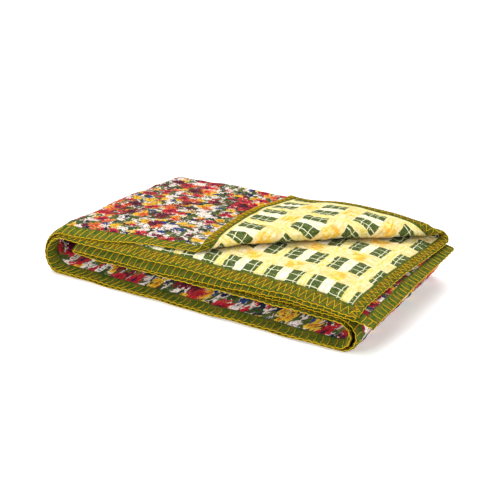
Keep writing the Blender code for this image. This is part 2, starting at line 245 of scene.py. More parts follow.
def end_drop(layer, number, x, y, near_front):
    """How much lower a layer lies near its free short end."""
    row = ENDS[layer, number]
    drop = mix(row.drop_mid, row.drop_front, near_front)
    drop = drop * mix(1.0, row.drop_back, np.clip(y / LAYER_DEPTH, 0.0, 1.0))
    return drop * sink(free_end(layer, number, y) - x, row.reach)


def level(layer, number, x, y, edge):
    """Height of a layer in one pass. Edge is the Y of its front edge there.

    Near the front edge the layers of the other passes sink more and more, while the lowest pass
    flattens out again, with the smooth step.
    """
    row = LEVELS[layer, number]
    mid = between(row.mid_left, row.mid_right, MID_RISE_FROM, MID_RISE_TO, x)
    front = between(row.front_left, row.front_right, row.front_from, row.front_to, x)
    if number == 2:
        near_front = 1.0 - ease((y - edge) / BOTTOM_EDGE_REACH)
    else:
        near_front = sink(y - edge, EDGE_REACH)
    height = mix(mid, front, near_front)
    if (layer, number) in ENDS:
        height = height - end_drop(layer, number, x, y, near_front)
    towards_back = ease((y - BACK_SINK_START) / (LAYER_DEPTH - BACK_SINK_START))
    raised = height - FLOOR_LEVEL
    lift = unevenness(x, y) * np.clip(raised / TOP_LEVEL, 0.0, 1.0)
    return FLOOR_LEVEL + raised * (1.0 - BACK_SINK * towards_back) + lift


# %% Folds and the turned corner
def fold_shape(layer, part, y):
    """X of a fold's tip, and X where its round stretch begins and ends."""
    row = FOLDS[layer, part]
    near_front = sink(y, EDGE_REACH)
    tip = mix(row.tip_mid, row.tip_front, near_front) + row.skew * y / LAYER_DEPTH
    before = mix(row.before_mid, row.before_front, near_front)
    after = mix(row.after_mid, row.after_front, near_front)
    side = 1.0 if part == 3 else -1.0
    return tip, tip - side * before, tip - side * after


def fold_edge(layer, part, share):
    """Y of a layer's front edge in a fold, between those of the passes that it joins."""
    number = (part + 1) // 2
    begin, end = fold_shape(layer, part, 0.0)[1:]
    return mix(setback(layer, number, begin), setback(layer, number + 1, end), ease(share))


def turn_corner(x, y):
    """Turn the front right corner of the top layer back over itself.

    With d the distance of a point past the fold line, and a and b the reach and half the height
    of the roll, the point goes round half an ellipse while d is less than the half's length
    h = pi sqrt((a^2 + b^2) / 2): to a sin(pi d/h) past the line and b (1 - cos(pi d/h)) up. From
    there it lies back over the layer, at -(d - h), and settles from 2 b to a share of it.
    """
    start = np.array(TURN_START)
    stop = np.array((ENDS[OUTER, 1].back, LAYER_DEPTH))
    length = np.linalg.norm(stop - start)
    along = (stop - start) / length
    past = np.array((along[1], -along[0]))
    a = (x - start[0]) * along[0] + (y - start[1]) * along[1]
    d = (x - start[0]) * past[0] + (y - start[1]) * past[1]
    swell = np.sin(math.pi * np.clip(a / length, 0.0, 1.0) ** ROLL_LEAN)
    reach = mix(ROLL_REACH_ENDS, ROLL_REACH, swell)
    height = mix(ROLL_HEIGHT_ENDS, ROLL_HEIGHT, swell) / 2
    half = math.pi * np.sqrt((reach ** 2 + height ** 2) / 2)
    angle = math.pi * np.clip(d / half, 0.0, 1.0)
    over = np.maximum(d - half, 0.0)
    offset = np.where(d > 0.0, reach * np.sin(angle) - over, d)
    rest = between(1.0, CORNER_REST, CORNER_REST_FROM, CORNER_REST_TO, over)
    lift = np.where(d > 0.0, height * (1.0 - np.cos(angle)) * rest, 0.0)
    turned_x = start[0] + a * along[0] + offset * past[0]
    turned_y = start[1] + a * along[1] + offset * past[1]
    return turned_x, turned_y, lift


# %% The whole map
def layer_point(layer, u, share):
    """Point of one layer: u along the strip, share from 0 at the front to 1 at the back."""
    part = np.minimum(np.floor(u).astype(int), 6)
    along = u - part
    x = np.zeros_like(u)
    y = np.zeros_like(u)
    z = np.zeros_like(u)
    for index in range(7):
        here = part == index
        if not here.any():
            continue
        f = along[here]
        if index % 2 == 1:
            x[here], y[here], z[here] = fold_point(layer, index, f, share[here])
        else:
            x[here], y[here], z[here] = pass_point(layer, index, f, share[here])
    return x, y, z


def beside_turn(base, end, f):
    """X of the stations between the base line and a free end, most of them in the turn's zone."""
    t = (BASE_PLACE - f) / (BASE_PLACE - PANEL_PLACE)
    width = end - base
    zone = np.minimum(ZONE_WIDTH, width)
    split = 1.0 - (1.0 - ZONE_SHARE) * np.clip((width - ZONE_WIDTH) / ZONE_FADE, 0.0, 1.0)
    rest = np.maximum(1.0 - split, 1e-6)
    return base + np.where(t < split, zone * t / split, zone + (width - zone) * (t - split) / rest)


def pass_x(layer, part, f, y):
    """X of a station in a pass. Near a free short end the stations are parallel to it."""
    if part == 0:
        strip = free_end(layer, 1, y) - STACK_LENGTH * f
        panel_end = free_end(layer, 1, y) - STACK_LENGTH * PANEL_PLACE
        base = mix(BASE_FRONT, BASE_BACK, y / LAYER_DEPTH)
        plain = mix(base, fold_shape(layer, 1, y)[1], (f - BASE_PLACE) / (1.0 - BASE_PLACE))
        beside = beside_turn(base, panel_end, f)
        return np.where(f < PANEL_PLACE, strip, np.where(f < BASE_PLACE, beside, plain))
    start = fold_shape(layer, part - 1, y)[2]
    if part == 6:
        strip = free_end(layer, 4, y) - STACK_LENGTH * (1.0 - f)
        panel_end = free_end(layer, 4, y) - STACK_LENGTH * PANEL_PLACE
        panel = mix(start, panel_end, f / (1.0 - PANEL_PLACE))
        return np.where(f > 1.0 - PANEL_PLACE, strip, panel)
    return mix(start, fold_shape(layer, part + 1, y)[1], f)


def pass_point(layer, part, f, share):
    """Point of one layer in a pass."""
    number = part // 2 + 1
    x = pass_x(layer, part, f, share * LAYER_DEPTH)
    edge = setback(layer, number, x)
    y = mix(edge, LAYER_DEPTH, share)
    x = pass_x(layer, part, f, y)
    if (layer, number) == (OUTER, 1):
        x, y, lift = turn_corner(x, y)
        return x, y, level(layer, number, x, y, setback(layer, number, x)) + lift
    return x, y, level(layer, number, x, y, edge)


def fold_point(layer, part, f, share):
    """Point of one layer in a fold: two quarters of an ellipse that meet at its tip."""
    number = (part + 1) // 2
    edge = fold_edge(layer, part, f)
    y = mix(edge, LAYER_DEPTH, share)
    tip, begin, end = fold_shape(layer, part, y)
    first = level(layer, number, begin, y, edge)
    second = level(layer, number + 1, end, y, edge)
    middle = mix(first, second, FOLDS[layer, part].share)
    angle = math.pi * f
    before = f <= 0.5
    side = np.where(before, begin, end)
    height = np.where(before, first, second)
    x = side + (tip - side) * np.sin(angle)
    z = middle + (height - middle) * np.abs(np.cos(angle))
    return x, y, z


def quilt_point(u, v):
    """Point of the quilt's middle surface at the parameters u and v."""
    u = np.asarray(u, dtype=float)
    v = np.asarray(v, dtype=float)
    outer = np.stack(layer_point(OUTER, u, np.clip(v, 0.0, 1.0)), axis=-1)
    inner = np.stack(layer_point(INNER, u, np.clip(3.0 - v, 0.0, 1.0)), axis=-1)
    angle = math.pi * np.clip(v - 1.0, 0.0, 1.0)[..., None]
    half_fold = (outer + inner) / 2 + (outer - inner) / 2 * np.cos(angle)
    spread = np.linalg.norm(outer - inner, axis=-1, keepdims=True) / 2
    half_fold[..., 1:2] += np.minimum(spread, HALF_FOLD_BULGE) * np.sin(angle)
    turned = (v > 1.0) & (v < 2.0)
    points = np.where((v <= 1.0)[..., None], outer, inner)
    points[turned] = half_fold[turned]
    return points


# %% Directions on the cloth
def step_along(u, v, step_u, step_v):
    """Direction of one side's step from a point, with length 1, or 0 where there is no cloth."""
    there = quilt_point(np.clip(u + step_u, 0.0, 7.0), np.clip(v + step_v, 0.0, 3.0))
    step = there - quilt_point(u, v)
    return step / np.maximum(np.linalg.norm(step, axis=-1, keepdims=True), 1e-9)


def floral_side(u, v):
    """Normal of the middle surface on its floral side, from short steps to all four sides."""
    along = step_along(u, v, NORMAL_STEP, 0.0) - step_along(u, v, -NORMAL_STEP, 0.0)
    across = step_along(u, v, 0.0, NORMAL_STEP) - step_along(u, v, 0.0, -NORMAL_STEP)
    normal = np.cross(across, along)
    return normal / np.linalg.norm(normal, axis=-1, keepdims=True)


# %% [markdown]
# ## Crinkled cloth
# Cotton that is quilted and washed draws up between its rows of running stitches, so every
# square centimetre has a pucker. A displacement texture could do this, but its wrinkles would
# not follow the stitched rows, so the relief is a formula of two lengths measured on the cloth
# itself: s along the strip and t across it. Rows of stitches run along s, the cloth puffs up
# between them, and noise breaks the puffs into puckers.

# %% Relief
SHIFT = np.array((-0.25610, -0.14660, 0.0))
FLOOR_CLEAR = 0.0002
ROW_PITCH = 0.0125
PUCKER_LENGTH = 0.0085
ROW_WANDER = 0.35
WANDER_SIZE = (0.045, 0.05)
PUFF_HEIGHT = 0.0010
PUFF_POWER = 0.7
PUFF_MEAN = 0.75
PUCKER_HEIGHT = 0.0010
ROW_SLIP = 17.3
SOFT_HEIGHT = 0.0006
SOFT_SIZE = (0.035, 0.028)


def noise(x, y, seed):
    """Smooth noise from -1 to 1: random values at whole numbers, blended with 3t^2 - 2t^3."""
    column = np.floor(x).astype(np.int64)
    row = np.floor(y).astype(np.int64)
    fx = ease(x - column)
    fy = ease(y - row)

    def lattice(i, j):
        """Value at a whole place, its bits scattered by large odd numbers."""
        value = (i * 374761393 + j * 668265263 + seed * 974634777) & 0x7FFFFFFF
        value = ((value ^ (value >> 13)) * 1274126177) & 0x7FFFFFFF
        return (value ^ (value >> 16)) / 0x7FFFFFFF * 2.0 - 1.0

    low = mix(lattice(column, row), lattice(column + 1, row), fx)
    high = mix(lattice(column, row + 1), lattice(column + 1, row + 1), fx)
    return mix(low, high, fy)


def crinkle(s, t, seed):
    """Height of the puckered cloth above its mean.

    Rows: |sin(pi t/pitch)|^0.7, wandering a little. Puckers: noise as long as a pucker and as
    wide as a row, only between the stitches, slipped along from row to row. Swells: slow noise.
    """
    row = t / ROW_PITCH + ROW_WANDER * noise(s / WANDER_SIZE[0], t / WANDER_SIZE[1], seed)
    puff = np.abs(np.sin(math.pi * row)) ** PUFF_POWER
    pucker = noise(s / PUCKER_LENGTH + ROW_SLIP * np.floor(row), row, seed + 1)
    soft = noise(s / SOFT_SIZE[0], t / SOFT_SIZE[1], seed + 2)
    return PUFF_HEIGHT * (puff - PUFF_MEAN) + PUCKER_HEIGHT * puff * pucker + SOFT_HEIGHT * soft


print("pucker pitch", PUCKER_LENGTH, "rows", ROW_PITCH)

# %% [markdown]
# ## Surfaces on a grid
# Each cloth is a closed shell: the same grid of points is pushed to both sides of the middle
# surface, and a rim joins the two faces. The whole grid is made with array sums, and the
# lengths s and t are stored as the piece's UV map, in metres, so that prints and weaves keep
# their real size round every fold.

# %% Lengths on the cloth
HALF_FOLD_LENGTH = 0.030


def along_length(points):
    """Running length along the first axis of a grid of points."""
    steps = np.linalg.norm(np.diff(points, axis=0), axis=-1)
    return np.concatenate([np.zeros((1,) + steps.shape[1:]), np.cumsum(steps, axis=0)])


def across_length(v):
    """Length across the strip: a layer's depth, the half-fold's length and the depth again."""
    fold = HALF_FOLD_LENGTH * np.clip(v - 1.0, 0.0, 1.0)
    return LAYER_DEPTH * (np.clip(v, 0.0, 1.0) + np.clip(v - 2.0, 0.0, 1.0)) + fold


# %% Shells
def grid_faces(rows, columns, start):
    """Corners of the squares of a grid whose points are numbered row by row."""
    index = start + np.arange(rows * columns).reshape(rows, columns)
    near = index[:-1, :-1]
    return np.stack([near, index[:-1, 1:], index[1:, 1:], index[1:, :-1]], axis=-1).reshape(-1, 4)


def rim_faces(rows, columns):
    """Squares that join the edges of two grids, the second numbered after the first."""
    top = np.arange(rows * columns).reshape(rows, columns)
    ring = np.concatenate([top[:, 0], top[-1, 1:], top[-2::-1, -1], top[0, -2:0:-1]])
    after = np.roll(ring, -1)
    under = rows * columns
    return np.stack([ring, after, after + under, ring + under], axis=-1)


def new_piece(name, points, faces, lengths, material):
    """Mesh object with its lengths as a UV map, riding on the quilt's one body.

    Points lower than the floor, such as those of a puffed edging, are laid flat on it.
    """
    points[..., 2] = np.maximum(points[..., 2], FLOOR_CLEAR)
    mesh = bpy.data.meshes.new(name)
    mesh.from_pydata(points.reshape(-1, 3).tolist(), [], faces.tolist())
    layer = mesh.uv_layers.new(name="Cloth")
    corners = np.zeros(len(mesh.loops), dtype=np.int64)
    mesh.loops.foreach_get("vertex_index", corners)
    layer.data.foreach_set("uv", lengths.reshape(-1, 2)[corners].ravel())
    mesh.shade_smooth()
    mesh.materials.append(material)
    mesh.validate()
    piece = bpy.data.objects.new(name, mesh)
    bpy.context.scene.collection.objects.link(piece)
    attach(piece, "root")
    print(name, "triangles", len(mesh.loops) - 2 * len(mesh.polygons))
    return piece


def shell(name, us, vs, low, high, material):
    """Closed shell over a grid of u and v. Low and high are the heights of its two faces."""
    u, v = np.meshgrid(us, vs, indexing="ij")
    middle = quilt_point(u, v) + SHIFT
    normal = floral_side(u, v)
    s = along_length(middle)
    t = across_length(v)
    low = np.broadcast_to(low(s, t, u, v) if callable(low) else low, u.shape)
    high = np.broadcast_to(high(s, t, u, v) if callable(high) else high, u.shape)
    points = np.stack([middle + high[..., None] * normal, middle + low[..., None] * normal])
    top = grid_faces(len(us), len(vs), 0)
    under = grid_faces(len(us), len(vs), u.size)[:, ::-1]
    faces = np.concatenate([top, under, rim_faces(len(us), len(vs))])
    lengths = np.stack([np.stack([s, t], axis=-1)] * 2)
    return new_piece(name, points, faces, lengths, material)


# %% Stations
def stations(*stretches):
    """Values from a list of (start, stop, steps), each going on where the last one ends."""
    values = [np.linspace(a, b, n + 1)[:-1] for a, b, n in stretches]
    return np.concatenate(values + [[stretches[-1][1]]])


BINDING_V = BINDING_WIDTH / LAYER_DEPTH
SEAM = 0.0002
CLOTH_U = BINDING_PLACE + SEAM / STACK_LENGTH
CLOTH_V = BINDING_V + SEAM / LAYER_DEPTH
TURN_SPLIT = BASE_PLACE - (BASE_PLACE - PANEL_PLACE) * ZONE_SHARE
PANEL_U = stations((CLOTH_U, PANEL_PLACE, 1), (PANEL_PLACE, TURN_SPLIT, 38),
                   (TURN_SPLIT, BASE_PLACE, 52), (BASE_PLACE, 1, 54), (1, 2, 36), (2, 3, 40),
                   (3, 4, 30), (4, 5, 30), (5, 6, 10), (6, 7 - PANEL_PLACE, 54),
                   (7 - PANEL_PLACE, 7 - CLOTH_U, 1))
PANEL_V = stations((CLOTH_V, 1, 78), (1, 2, 8), (2, 3 - CLOTH_V, 50))
print("panel grid", len(PANEL_U), "by", len(PANEL_V))

# %% [markdown]
# ## Writing colours as formulas
# A printed cloth needs no picture: every motif can be a formula of the two lengths in the UV
# map. Shader nodes do that sum for each point of the surface. This small helper makes a node
# for each operation, so that a material reads like a formula instead of a list of links.

# %% Shader formulas
def tone(red, green, blue):
    """Colour as it looks on a screen, from 0 to 255, turned into the linear values of a shader."""
    values = np.array((red, green, blue)) / 255.0
    linear = np.where(values <= 0.04045, values / 12.92, ((values + 0.055) / 1.055) ** 2.4)
    return (*[float(value) for value in linear], 1.0)


WHITE = tone(255, 255, 255)
GRAIN_SCALE = 900.0
DULL = 0.15
SOFT_SHEEN = 0.6


class Formula:
    """Makes and links the nodes of one material."""

    def __init__(self, name):
        self.material = bpy.data.materials.new(name)
        self.material.use_nodes = True
        self.tree = self.material.node_tree
        self.shader = self.tree.nodes["Principled BSDF"]
        uv = self.tree.nodes.new("ShaderNodeUVMap")
        uv.uv_map = "Cloth"
        self.uv = uv.outputs["UV"]

    def put(self, value, socket):
        """Link a socket to another one, or set it to a number or colour."""
        if isinstance(value, bpy.types.NodeSocket):
            self.tree.links.new(value, socket)
        elif value is not None:
            socket.default_value = value

    def math(self, operation, first, second=None, third=None, clamp=False):
        """Result of one Math node."""
        node = self.tree.nodes.new("ShaderNodeMath")
        node.operation = operation
        node.use_clamp = clamp
        for value, socket in zip((first, second, third), node.inputs):
            self.put(value, socket)
        return node.outputs[0]

    def plus(self, first, second):
        """Sum of two numbers."""
        return self.math("ADD", first, second)

    def minus(self, first, second):
        """Difference of two numbers."""
        return self.math("SUBTRACT", first, second)

    def times(self, first, second):
        """Product of two numbers."""
        return self.math("MULTIPLY", first, second)

    def vector(self, operation, first, second=None):
        """Result of one Vector Math node."""
        node = self.tree.nodes.new("ShaderNodeVectorMath")
        node.operation = operation
        self.put(first, node.inputs[0])
        self.put(second, node.inputs[1])
        return node.outputs["Value" if operation == "LENGTH" else "Vector"]

    def split(self, vector):
        """X, Y and Z of a vector."""
        node = self.tree.nodes.new("ShaderNodeSeparateXYZ")
        self.put(vector, node.inputs[0])
        return node.outputs[0], node.outputs[1], node.outputs[2]

    def join(self, x, y):
        """Vector of X and Y."""
        node = self.tree.nodes.new("ShaderNodeCombineXYZ")
        self.put(x, node.inputs[0])
        self.put(y, node.inputs[1])
        return node.outputs[0]

    def blend(self, share, first, second, kind="MIX"):
        """Blend of two colours."""
        node = self.tree.nodes.new("ShaderNodeMix")
        node.data_type = "RGBA"
        node.blend_type = kind
        self.put(share, node.inputs[0])
        self.put(first, node.inputs[6])
        self.put(second, node.inputs[7])
        return node.outputs[2]

    def ramp(self, value, stops, steps=False):
        """Colour read from a list of (place, tone), each tone as red, green and blue up to 255."""
        node = self.tree.nodes.new("ShaderNodeValToRGB")
        ramp = node.color_ramp
        ramp.interpolation = "CONSTANT" if steps else "LINEAR"
        while len(ramp.elements) < len(stops):
            ramp.elements.new(1.0)
        for element, (place, colour) in zip(ramp.elements, stops):
            element.position = place
            element.color = tone(*colour)
        self.put(value, node.inputs[0])
        return node.outputs[0]

    def noise(self, vector, scale, detail=2.0, colour=False):
        """Noise from 0 to 1, or three of them as a colour."""
        node = self.tree.nodes.new("ShaderNodeTexNoise")
        node.noise_dimensions = "2D"
        self.put(vector, node.inputs["Vector"])
        node.inputs["Scale"].default_value = scale
        node.inputs["Detail"].default_value = detail
        return node.outputs["Color" if colour else "Fac"]

    def cells(self, vector, scale, jitter):
        """Random cells: their three random numbers and the place of their middle."""
        node = self.tree.nodes.new("ShaderNodeTexVoronoi")
        node.voronoi_dimensions = "2D"
        self.put(vector, node.inputs["Vector"])
        node.inputs["Scale"].default_value = scale
        node.inputs["Randomness"].default_value = jitter
        return node.outputs["Color"], node.outputs["Position"]

    def stretches(self, length, stops):
        """Value that runs straight between the stops of a list of (length, value)."""
        total = stops[0][1]
        for (start, low), (stop, high) in zip(stops, stops[1:]):
            node = self.tree.nodes.new("ShaderNodeMapRange")
            for value, socket in zip((length, start, stop, 0.0, high - low), node.inputs):
                self.put(value, socket)
            total = self.plus(node.outputs[0], total)
        return total

    def soft(self, value, slope):
        """Edge of a motif: 0 outside, 1 inside, with a short slope between."""
        return self.math("MULTIPLY_ADD", value, slope, 0.5, clamp=True)

    def bump(self, height, strength, distance):
        """Relief that only the light sees."""
        node = self.tree.nodes.new("ShaderNodeBump")
        node.inputs["Strength"].default_value = strength
        node.inputs["Distance"].default_value = distance
        self.put(height, node.inputs["Height"])
        self.put(node.outputs["Normal"], self.shader.inputs["Normal"])

    def grained(self, colour, share, dark):
        """Colour darkened by the specks of a fine grain."""
        grain = self.blend(self.noise(self.uv, GRAIN_SCALE), dark, WHITE)
        return self.blend(share, colour, grain, "MULTIPLY")

    def finish(self, colour, roughness, sheen):
        """Matt cloth, with the colour on its shader and a little sheen."""
        self.put(colour, self.shader.inputs["Base Color"])
        self.shader.inputs["Roughness"].default_value = roughness
        self.shader.inputs["Specular IOR Level"].default_value = DULL
        self.shader.inputs["Sheen Weight"].default_value = sheen
        self.shader.inputs["Sheen Roughness"].default_value = SOFT_SHEEN
        return self.material


# %% Wrinkled weave
PANEL_WEAVE = 0.0007
EDGING_WEAVE = 0.0006
WANDER_SCALE = 60.0
WRINKLE_SCALE = 330.0
COARSE_SCALE = 120.0
# Painted shade in fine creases: its noise scale, line width and the shade's colour
CREASE_SHADE_SCALE = 190.0
CREASE_SHADE_WIDTH = 0.020
CREASE_SHADE_TONE = tone(70, 56, 44)


def weave_relief(f, thread_pitch):
    """Height of a plain weave with fine wrinkles that cross the stitched rows."""
    s, t, _ = f.split(f.uv)
    warp = f.math("SINE", f.times(s, 2 * math.pi / thread_pitch))
    weft = f.math("SINE", f.times(t, 2 * math.pi / thread_pitch))
    weave = f.times(warp, weft)
    wander = f.noise(f.uv, WANDER_SCALE)
    wrinkled = f.join(f.math("MULTIPLY_ADD", wander, 0.004, s), f.times(t, 0.45))
    wrinkle = f.noise(wrinkled, WRINKLE_SCALE, 3.0)
    coarse = f.noise(f.join(s, f.times(t, 0.7)), COARSE_SCALE)
    height = f.math("MULTIPLY_ADD", coarse, 1.3, wrinkle)
    return f.math("MULTIPLY_ADD", weave, 0.05, height)


def painted_crease_shade(f, colour, share):
    """Painted shade: colour darkened in fine creases, where slow noise passes through its middle
    value.
    """
    s, t, _ = f.split(f.uv)
    waver = f.noise(f.join(s, f.times(t, 0.8)), CREASE_SHADE_SCALE)
    off = f.math("ABSOLUTE", f.minus(waver, 0.5))
    crease_shade = f.soft(f.minus(CREASE_SHADE_WIDTH, off), 40.0)
    return f.blend(f.times(crease_shade, share), colour, CREASE_SHADE_TONE, "MULTIPLY")


print("formula helper ready")

# %% [markdown]
# ## The floral print
# The face is white cotton covered with small garden flowers: crimson daisies with dark blue
# middles, thin-petalled orange ones, yellow blossoms, little blue flowers and olive leaves. A
# drawn picture would repeat or need a file, so each kind of flower gets its own field of random
# cells. A cell gives its flower a place, a turn and a shade, and the petals are a radius that
# swings with the angle.

# %% Flowers
# A field: its cells on a metre, how far their middles stray, a flower's size, its petals and how
# deep they are cut, the share of cells that have one and where the field starts
Flowers = namedtuple("Flowers", "per_metre jitter radius petals depth chance offset")
Leaves = namedtuple("Leaves", "per_metre jitter length width chance offset")
SMALL = Flowers(62.0, 0.95, 0.0066, 5, 0.35, 0.88, 1.27)
YELLOW = Flowers(43.0, 0.95, 0.0086, 4, 0.34, 0.52, 2.41)
ORANGE = Flowers(29.0, 0.9, 0.0108, 11, 0.60, 0.32, 3.73)
CRIMSON = Flowers(30.0, 0.9, 0.0140, 8, 0.50, 0.80, 5.19)
LEAF_FIELDS = (
    Leaves(72.0, 0.95, 0.0098, 0.0042, 0.84, 0.31),
    Leaves(58.0, 0.95, 0.0116, 0.0046, 0.80, 0.83),
)
LEAF_BEND = 25.0
SMALLEST = 0.72
SPREAD = 0.45
PETAL_END = 0.94


def scattered(f, place, row, slant):
    """Random cells of a field: three random numbers, and X and Y from a cell's middle."""
    moved = f.vector("ADD", place, (row.offset, slant * row.offset, 0.0))
    random, middle = f.cells(moved, row.per_metre, row.jitter)
    x, y, _ = f.split(f.vector("SUBTRACT", moved, middle))
    return f.split(random), x, y


def blossom(f, place, row):
    """One field of flowers.

    In each cell, with r and a the distance and angle from its middle, the flower reaches
    radius (1 - depth + depth |cos(petals a/2)|). Gives its mask, r as a share of that reach,
    |cos| and a random number of the cell.
    """
    (first, second, third), x, y = scattered(f, place, row, 0.61)
    distance = f.vector("LENGTH", f.join(x, y))
    angle = f.math("MULTIPLY_ADD", first, 2 * math.pi, f.math("ARCTAN2", y, x))
    swing = f.math("ABSOLUTE", f.math("COSINE", f.times(angle, row.petals / 2)))
    size = f.math("MULTIPLY_ADD", second, SPREAD * row.radius, SMALLEST * row.radius)
    reach = f.times(size, f.math("MULTIPLY_ADD", swing, row.depth, 1.0 - row.depth))
    share = f.math("DIVIDE", distance, reach)
    there = f.math("LESS_THAN", third, row.chance)
    mask = f.times(f.soft(f.minus(PETAL_END, share), 9.0), there)
    return mask, share, swing, second


def leaf_field(f, place, row):
    """Field of leaves: ellipses that are bent and turned at random. Gives the mask and a number."""
    (first, second, third), x, y = scattered(f, place, row, 0.37)
    turn = f.times(first, 2 * math.pi)
    cosine = f.math("COSINE", turn)
    sine = f.math("SINE", turn)
    along = f.plus(f.times(x, cosine), f.times(y, sine))
    side = f.minus(f.times(y, cosine), f.times(x, sine))
    bent = f.math("MULTIPLY_ADD", f.times(along, along), LEAF_BEND, side)
    a = f.math("POWER", f.math("ABSOLUTE", f.math("DIVIDE", along, row.length)), 2.0)
    b = f.math("POWER", f.math("ABSOLUTE", f.math("DIVIDE", bent, row.width)), 2.0)
    inside = f.soft(f.minus(1.0, f.plus(a, b)), 4.0)
    return f.times(inside, f.math("LESS_THAN", third, row.chance)), second


# %% Floral tones
# Stops of the colour ramps. Those of the flowers run from the middle to the petals' ends, those
# of the small flowers and the leaves give each one a colour by chance.
LEAF_STOPS = [(0.0, (40, 56, 24)), (0.5, (68, 88, 36)), (1.0, (104, 112, 42))]
SMALL_STOPS = [(0.0, (18, 28, 72)), (0.26, (34, 64, 132)), (0.42, (112, 18, 44)),
               (0.58, (250, 242, 232)), (0.76, (204, 30, 48))]
YELLOW_STOPS = [(0.0, (40, 44, 80)), (0.20, (222, 130, 20)), (0.50, (244, 190, 30)),
                (1.0, (248, 212, 88))]
ORANGE_STOPS = [(0.0, (150, 24, 30)), (0.24, (206, 46, 26)), (0.40, (228, 88, 26)),
                (1.0, (238, 128, 48))]
BRIGHT_STOPS = [(0.0, (14, 20, 58)), (0.22, (26, 26, 72)), (0.28, (124, 12, 34)),
                (0.50, (200, 22, 38)), (0.80, (210, 38, 52)), (1.0, (226, 90, 96))]
DEEP_STOPS = [(0.0, (14, 18, 48)), (0.26, (40, 14, 40)), (0.34, (88, 10, 34)),
              (1.0, (142, 16, 44))]
DEEP_FROM = 0.76
HEART_SHARE = 0.28
STREAK_SHARE = 0.45
PUSH_SCALE = 120.0
PUSH = (0.0080, 0.0060, 0.0)
PUCKER_SCALE = 200.0
PUCKER_PUSH = (0.0066, 0.0058, 0.0)
GROUND_SCALE = 90.0
MIDDLE_GREY = (0.5, 0.5, 0.5)


# %% Floral cotton
def floral_cotton():
    """White cotton with its fields of leaves and flowers laid over each other.

    The print is pushed about by noise, and each pucker, a random cell, hides a little of it, so
    that the motifs look broken as they do on a crinkled cloth.
    """
    f = Formula("floral_cotton")
    s, t, _ = f.split(f.uv)
    push = f.vector("SUBTRACT", f.noise(f.uv, PUSH_SCALE, colour=True), MIDDLE_GREY)
    puckers = f.cells(f.join(s, f.times(t, 1.3)), PUCKER_SCALE, 0.95)[0]
    pucker = f.vector("SUBTRACT", puckers, MIDDLE_GREY)
    place = f.vector("ADD", f.uv, f.vector("MULTIPLY", push, PUSH))
    place = f.vector("ADD", place, f.vector("MULTIPLY", pucker, PUCKER_PUSH))

    colour = f.blend(f.noise(place, GROUND_SCALE), tone(250, 242, 232), tone(232, 204, 194))
    for row in LEAF_FIELDS:
        mask, number = leaf_field(f, place, row)
        colour = f.blend(mask, colour, f.ramp(number, LEAF_STOPS))

    mask, share, _, number = blossom(f, place, SMALL)
    small = f.ramp(number, SMALL_STOPS, steps=True)
    heart = f.soft(f.minus(HEART_SHARE, share), 8.0)
    colour = f.blend(mask, colour, f.blend(heart, small, tone(60, 30, 50)))

    for row, stops in ((YELLOW, YELLOW_STOPS), (ORANGE, ORANGE_STOPS)):
        mask, share = blossom(f, place, row)[:2]
        colour = f.blend(mask, colour, f.ramp(share, stops))

    mask, share, swing, number = blossom(f, place, CRIMSON)
    bright = f.ramp(share, BRIGHT_STOPS)
    deep = f.ramp(share, DEEP_STOPS)
    crimson = f.blend(f.math("GREATER_THAN", number, DEEP_FROM), bright, deep)
    streak = f.math("LESS_THAN", swing, f.times(share, STREAK_SHARE))
    crimson = f.blend(f.times(streak, 0.8), crimson, tone(92, 12, 36))
    colour = f.blend(mask, colour, crimson)

    colour = f.grained(colour, 0.3, tone(140, 130, 120))
    # Painted shade in the creases, strong on the floral face
    colour = painted_crease_shade(f, colour, 0.85)
    f.bump(weave_relief(f, PANEL_WEAVE), 1.0, 0.0022)
    return f.finish(colour, 0.9, 0.03)


# %% [markdown]
# ## The check print
# The back is a painterly check on pale yellow: pairs of green blocks with white between them,
# thin white lines that divide each block, and warm yellow patches between the rows. The stripes
# along and across the strip are periodic functions of s and t, and noise in s and t makes
# their edges wander like brush strokes.

# %% Check layout
# Along the strip, in metres from the start of a period: the two green columns, the white gap
# between them, the warm patches and the thin lines
CHECK_ALONG = 0.0655
CHECK_START = 0.020
GREEN_COLUMNS = ((0.0, 0.0185), (0.0335, 0.0520))
WHITE_COLUMN = (0.0185, 0.0335)
PATCH_COLUMN = (0.0150, 0.0370)
COLUMN_LINES = ((0.0048, 0.0060), (0.0460, 0.0472))
# Across the strip, in shares of a row, with the rows counted at some lengths across it
ROW_SHARE = 0.56
PATCH_ROW = (ROW_SHARE + 0.07, 0.94)
ROW_LINES = ((0.180, 0.196), (0.370, 0.386))
ROW_COUNT = ((0.0, -0.31), (0.283, 4.0), (0.339, 5.0), (0.596, 8.63))
COLUMN_SLIP = ((0.0, 0.0), (0.06, -0.003), (0.135, -0.0105), (0.24, -0.0105), (0.34, 0.011),
               (0.596, -0.002))
SHARP = 2600.0
ROW_SHARP = 170.0
PATCH_SHARP = 500.0
PATCH_ROW_SHARP = 30.0
# Brush marks: cells of noise on a metre, how far the print wanders, and the noise level at which
# a warm patch or a worn spot in a green block begins
WANDER = (0.0046, 0.0046, 0.0)
PRINT_SCALE = 75.0
BRUSH_SCALE = 260.0
PATCH_SCALE = 95.0
PATCH_FROM = 0.40
WORN_SCALE = 420.0
WORN_FROM = 0.30
GREEN_SCALE = 210.0

PALE_STOPS = [(0.30, (246, 232, 190)), (0.50, (242, 224, 150)), (0.64, (226, 208, 92)),
              (0.78, (240, 206, 132))]
CREAM_STOPS = [(0.30, (246, 230, 190)), (0.50, (242, 218, 152)), (0.64, (228, 206, 110)),
               (0.76, (240, 200, 150))]
WARM_STOPS = [(0.30, (248, 226, 150)), (0.46, (246, 204, 66)), (0.60, (238, 172, 40)),
              (0.78, (244, 196, 140))]
GREEN_STOPS = [(0.30, (54, 68, 22)), (0.55, (76, 94, 40)), (0.75, (98, 114, 58))]
WHITE_STOPS = [(0.34, (248, 244, 228)), (0.54, (244, 236, 196)), (0.72, (238, 224, 152))]


